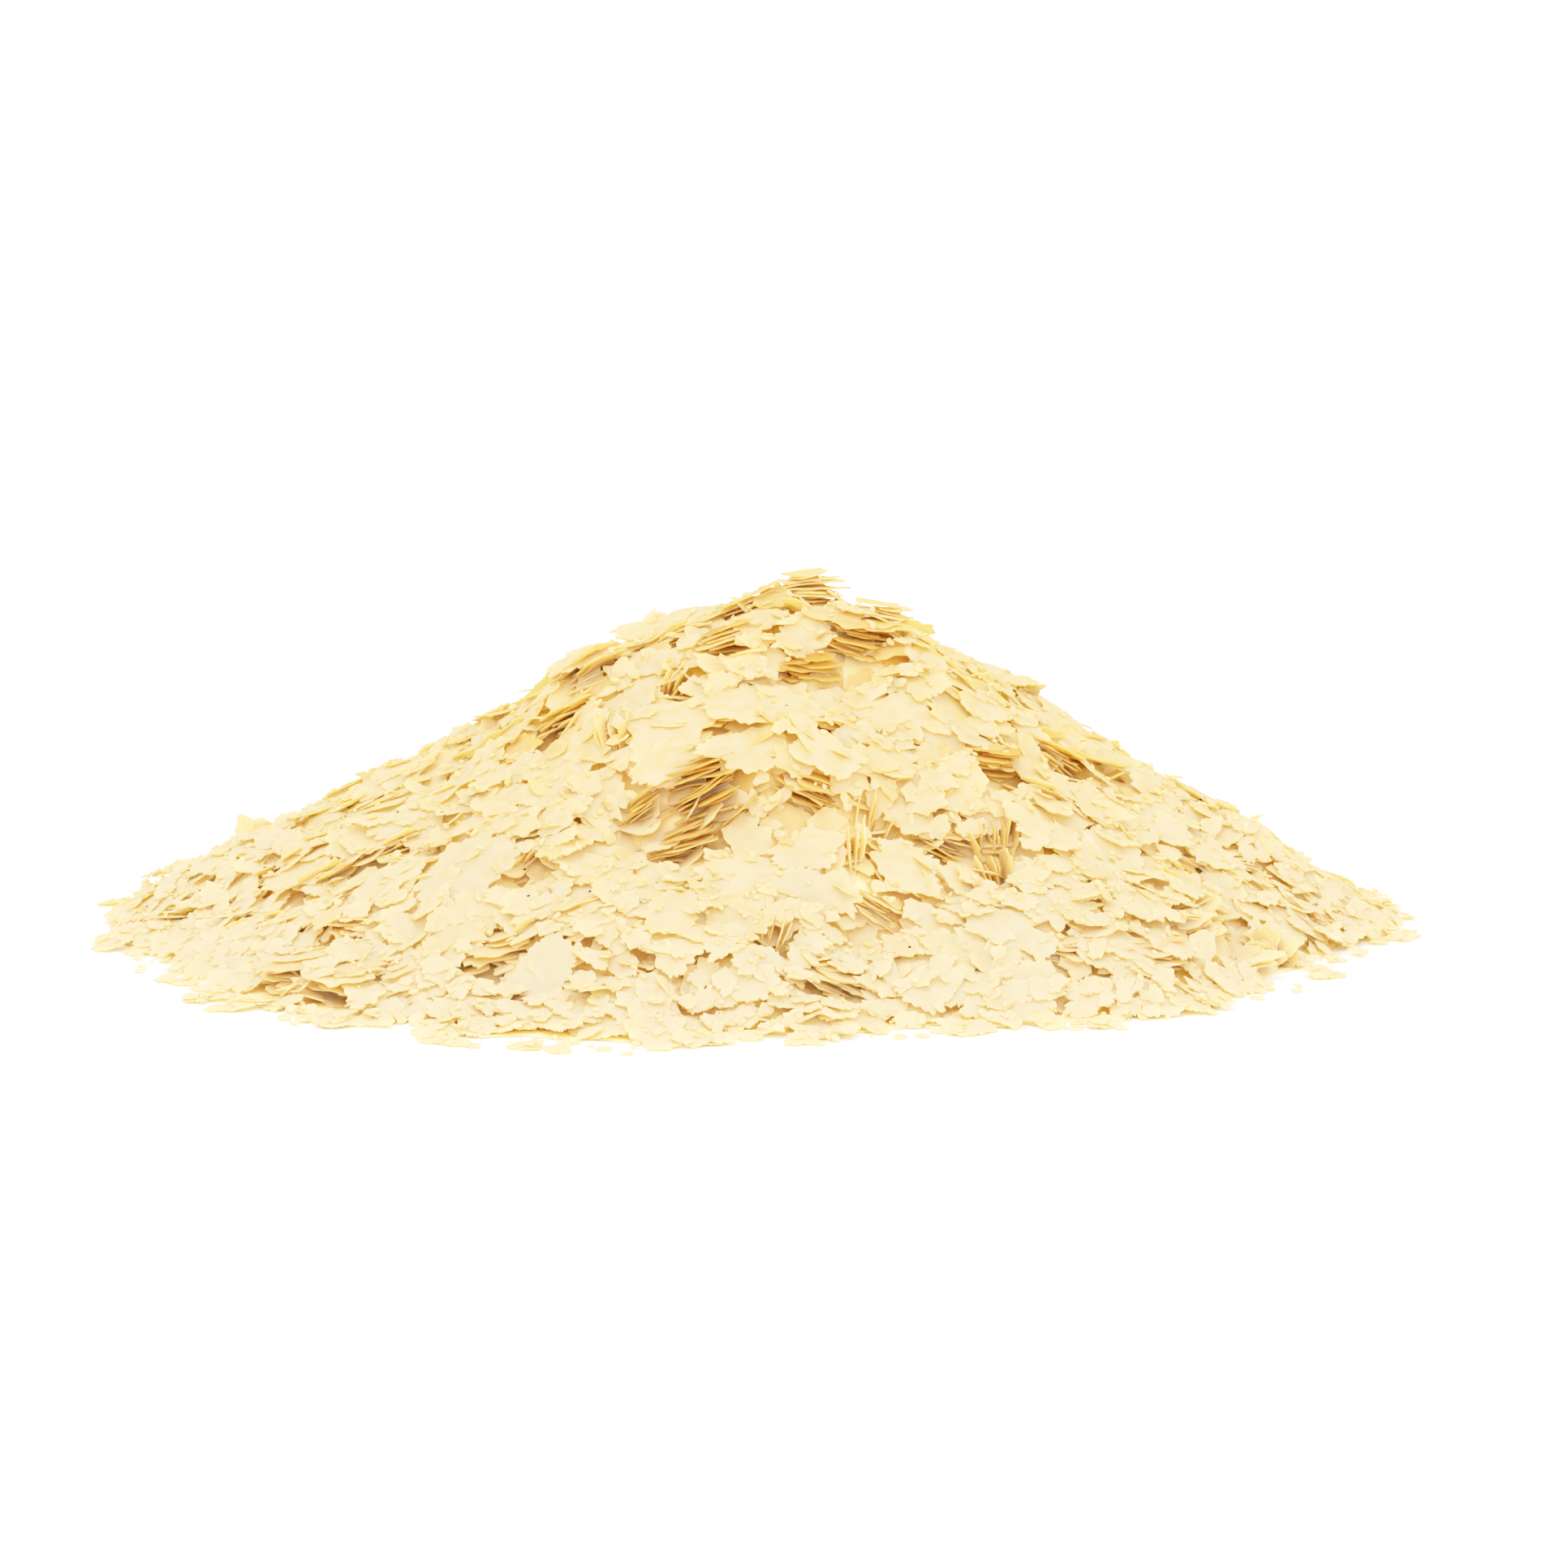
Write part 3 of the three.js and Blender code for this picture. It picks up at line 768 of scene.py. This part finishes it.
PROUD = 0.25  # how far a stack stands over the wanted surface
TOP_OVER_MIDDLE = 0.42  # share of a page's length from an upright page's middle up to its edge
SET_BACK = 0.38  # share of a page's length from the stack's face back to the middle of its pages
LEVEL_SLOPE = 0.6  # on slopes gentler than this a stack is sunk, as it can't lean on the slope behind it
GENTLEST = 0.35  # pages high in a stack step back as on a slope of at least this
# How far pages stray: in degrees, outwards and along the page in mm, as a share of the gap, and in tone
ANGLE_SPREAD = 2.5
OUTWARD_SPREAD = 0.35
ALONG_SPREAD = 0.6
GAP_SPREAD = 0.3
TONE_SPREAD = 0.08
SIDE_SPREAD = 0.12  # of the page's heading, as a slope
PAGE_SPOTS = 60
COVER = 0.6  # how far over the wanted surface a stack counts as ground for the flakes laid after it
FACE_DEPTH = 1.3  # half the depth of the place round its edges that a stack keeps clear


def lay_stack(kind, x, y, rising, lean, pages, gap, length, fan, tone, behind=0, keeps=KEPT):
    """Sets a stack of pages into the slope, their edges just at its surface, and keeps its place clear."""
    heading = math.atan2(y - behind, x - PEAK_X)
    outward = np.array([math.cos(heading), math.sin(heading), 0])
    right = np.array([-outward[1], outward[0], 0])
    up = math.cos(math.radians(lean)) * np.array([0, 0, 1]) + math.sin(math.radians(lean)) * outward
    i, j = cells_of(x, y)
    steep = math.hypot(slope_x[i, j], slope_y[i, j])
    upright = abs(math.sin(math.radians(rising)))
    on_level_ground = max(0, 1 - steep / LEVEL_SLOPE)
    surface = wanted[i, j] + PROUD - upright * TOP_OVER_MIDDLE * length
    surface -= 0.5 * gap * (pages - 1) * (1 - upright) * on_level_ground
    middle = np.array([x, y, surface]) - SET_BACK * length * outward
    middle[2] += (SET_BACK * length * steep) * upright
    for page in range(pages):
        share = page / max(pages - 1, 1) - 0.5
        angle = math.radians(rising + fan * share + rng.normal(0, ANGLE_SPREAD))
        normal = math.cos(angle) * up - math.sin(angle) * right
        along = math.cos(angle) * right + math.sin(angle) * up
        step = gap * (pages - 1) * share
        place = middle + (step + GAP_SPREAD * gap * rng.normal()) * normal
        place -= max(step, 0) * (1 - upright) * 0.5 * outward / max(steep, GENTLEST)
        place += rng.normal(0, OUTWARD_SPREAD) * outward + rng.normal(0, ALONG_SPREAD) * along
        outline, curl = kind.make(length * rng.uniform(0.65, 1.1), rng.uniform(0.75, 1.0))
        side = along + rng.normal(0, SIDE_SPREAD) * outward
        side /= np.linalg.norm(side)
        normal = normal - normal.dot(side) * side
        normal /= np.linalg.norm(normal)
        turn = np.stack([side, np.cross(normal, side), normal], axis=1)
        u, v = spots_on(outline, PAGE_SPOTS)
        spots = turn @ np.stack([u, v, sheet_rise(u, v, curl)]) + place[:, None]
        rim = turn @ np.stack([*outline.T, sheet_rise(*outline.T, curl)])
        place[2] = max(place[2], SHEET / 2 - rim[2].min())
        cells = cells_of(spots[0], spots[1])
        if wanted[cells].min() < OFF_THE_HEAP:
            continue
        np.maximum.at(ground, cells, np.minimum(spots[2] + SHEET, wanted[cells] + COVER))
        kind.keep(outline, curl, tuple(place), turn, max(0, tone + rng.normal(0, TONE_SPREAD)))
    reach_right = 0.36 * length * math.cos(math.radians(rising)) + 0.45 * pages * gap * upright
    away = np.stack([grid_x - x, grid_y - y], axis=-1)
    across = away @ right[:2] / max(reach_right, 1)
    out = (away @ outward[:2] - 0.3) / FACE_DEPTH
    shown[across**2 + out**2 < 1] = keeps


RANDOM_STACKS = 80  # tried over the whole heap, and dropped on its front and its skyline
stacked = Flakes(points=28, corners=6, teeth=0.13, roll=0.08, ripple=0.05)
for stack in STACKS.values():
    lay_stack(stacked, *stack, BEHIND, KEPT_OPEN if stack[-1] < DEEP_TONE else KEPT)
for _ in range(RANDOM_STACKS):
    spot = rng.integers(0, len(whole_heap[0]))
    x, y = whole_heap[0][spot], whole_heap[1][spot]
    height = wanted[cells_of(x, y)]
    on_the_skyline = abs(y) < 9
    on_the_front = y < 0 and abs(x) < 30
    if on_the_skyline or on_the_front or height < 1.5:
        continue
    pages = int(rng.integers(4, 10))
    # Stacks take deep tones: partly their own, partly painted shade for the gaps between their pages
    length, tone = rng.uniform(4.5, 7.0), rng.uniform(0.1, 0.4)
    lay_stack(stacked, x, y, rng.normal(0, 30), rng.uniform(0, 6), pages, 0.28, length, 16, tone)
flakes_object("stacked_flakes", stacked, [1.0, 0.55])
# Middling flakes have fallen into the gaps round the stacks
lay(middling, 260, (2.8, 4.0, 5.5), (16, 8, 6), 0.25, -0.45, boldness=0.8, tries=24)
flakes_object("middling_flakes", middling, [1.0, 0.55])


# ---- The small flakes ----
# Bits 1.4 to 4.4 mm across that broke off the others and lie caught between them, and a few on top.
small = Flakes(points=16, corners=5, teeth=0.15, roll=0.1, ripple=0.03, tone_range=(0.3, 1))
lay(small, 1500, (1.6, 2.8, 4.4), (14, 8, 3), 0.25, -0.2, boldness=0.5)


# ---- The large flakes ----
# Flakes 4 to 8 mm across at the surface, as torn as the broad ones, some under and some over them.
large = Flakes(points=52, corners=6, teeth=0.12, roll=0.07, ripple=0.06, tone_range=(0.2, 1))
lay(large, 300, (4.4, 5.6, 7.2), (9, 6, 4), 0.34, 0.05)
lay(large, 90, (4.4, 5.6, 7.4), (0, 3, 0), 0.3, 0.6, places=edge_of_foot, tries=1)


# ---- The broad flakes ----
# The largest flakes, most of them 6 to 12 mm across, which ride up to the surface as the heap is poured
# and lie on the slope like shingles, with torn, toothed edges. The named ones are those seen on the front.
NAMED_FLAKES = {
    # place x, y, length, slimness, heading of the length in degrees, tilts outwards and aside, tone
    "left_sheet": (-25.0, -26.9, 11.0, 0.85, 10, 6, 4, 0.97),
    "foot_sheet": (-17.8, -41.0, 8.0, 0.85, 5, 14, 0, 0.98),
    "upper_left_sheet": (-11.6, -11.6, 7.6, 0.85, 30, 8, -4, 1.0),
    "right_sheet": (19.2, -35.0, 8.4, 0.7, -5, 4, 0, 0.97),
    "below_the_peak_left": (-0.7, -15.6, 12.0, 0.85, 8, -4, 4, 0.7),
    "below_the_peak_right": (11.8, -14.0, 9.5, 0.8, -14, -2, -4, 0.8),
    "above_the_brow": (-7.9, -16.6, 10.5, 0.85, 5, 0, 0, 0.6),
    "brow_left": (-8.4, -21.2, 8.6, 0.7, 10, -12, 4, 0.75),
    "brow_middle": (-1.4, -21.4, 10.0, 0.65, 0, -14, 2, 0.65),
    "brow_right": (5.2, -21.2, 9.0, 0.65, -10, -12, -2, 0.8),
    "leaf_under_the_brow": (-8.6, -26.6, 4.4, 0.5, 5, -20, 0, 0.6),
    "front_left": (-2.2, -31.8, 9.0, 0.8, 15, -3, 4, 0.7),
    "front_middle": (3.6, -30.2, 8.6, 0.8, -10, 0, -4, 0.85),
    "front_right": (11.2, -30.4, 9.0, 0.85, -20, 0, -4, 0.6),
    "pale_tongue": (6.6, -18.0, 4.4, 0.8, 70, 6, 0, 1.0),
    "peak_left": (-15.4, -4.4, 7.5, 0.9, 10, -6, 0, 0.8),
    "peak": (-1.0, -2.6, 7.0, 0.8, 25, -6, 0, 0.7),
    "left_corner": (-31.5, -24.0, 9.0, 0.8, 25, 2, 2, 0.9),
}
broad = Flakes(points=72, corners=7, teeth=0.1, roll=0.05, ripple=0.08, tone_range=(0.25, 1))
for x, y, length, slimness, along, out_tilt, aside_tilt, tone in NAMED_FLAKES.values():
    normal = leaning(ground_normal(x, y, 0.4 * length), x, y, out_tilt, aside_tilt)
    turn = turn_to(normal, math.radians(along - 90))
    settle(broad, broad.make(length, slimness), x, y, turn, 0.3, 9, tone=tone)
lay(broad, 530, (5.6, 7.8, 11.0), (8, 5, 4), 0.36, 0.25)
flakes_object("broad_flakes", broad, [1.0, 0.5])
lay(large, 370, (4.6, 6.0, 7.6), (8, 6, 4), 0.36, 0.35)
flakes_object("large_flakes", large, [1.0, 0.5])
lay(small, 700, (1.4, 2.4, 3.8), (12, 9, 3), 0.35, 0.4, tries=30)
lay(small, 200, (1.4, 2.4, 3.6), (0, 3, 0), 0.3, 0.6, places=edge_of_foot, tries=1)
flakes_object("small_flakes", small, [1.0])


# ---- The torn flakes ----
# Torn pieces of larger flakes, 3 to 6 mm across, that rolled down over the others and fill the surface.
torn = Flakes(points=28, corners=6, teeth=0.14, roll=0.08, ripple=0.05, tone_range=(0.3, 1))
lay(torn, 680, (2.8, 4.2, 5.6), (9, 7, 4), 0.35, 0.4, tries=20)
flakes_object("torn_flakes", torn, [1.0, 0.5])


# ---- The crumbs ----
# Fragments 0.5 to 1.6 mm across, dusted over the flakes and round the foot.
crumbs = Flakes(points=7, corners=5, teeth=0.1, roll=0.05, ripple=0.01, tone_range=(0.3, 1))
lay(crumbs, 2200, (0.5, 0.8, 1.6), (10, 14, 0), 0.4, 0.7, boldness=0.9, tries=1)
flakes_object("crumbs", crumbs, [1.0])
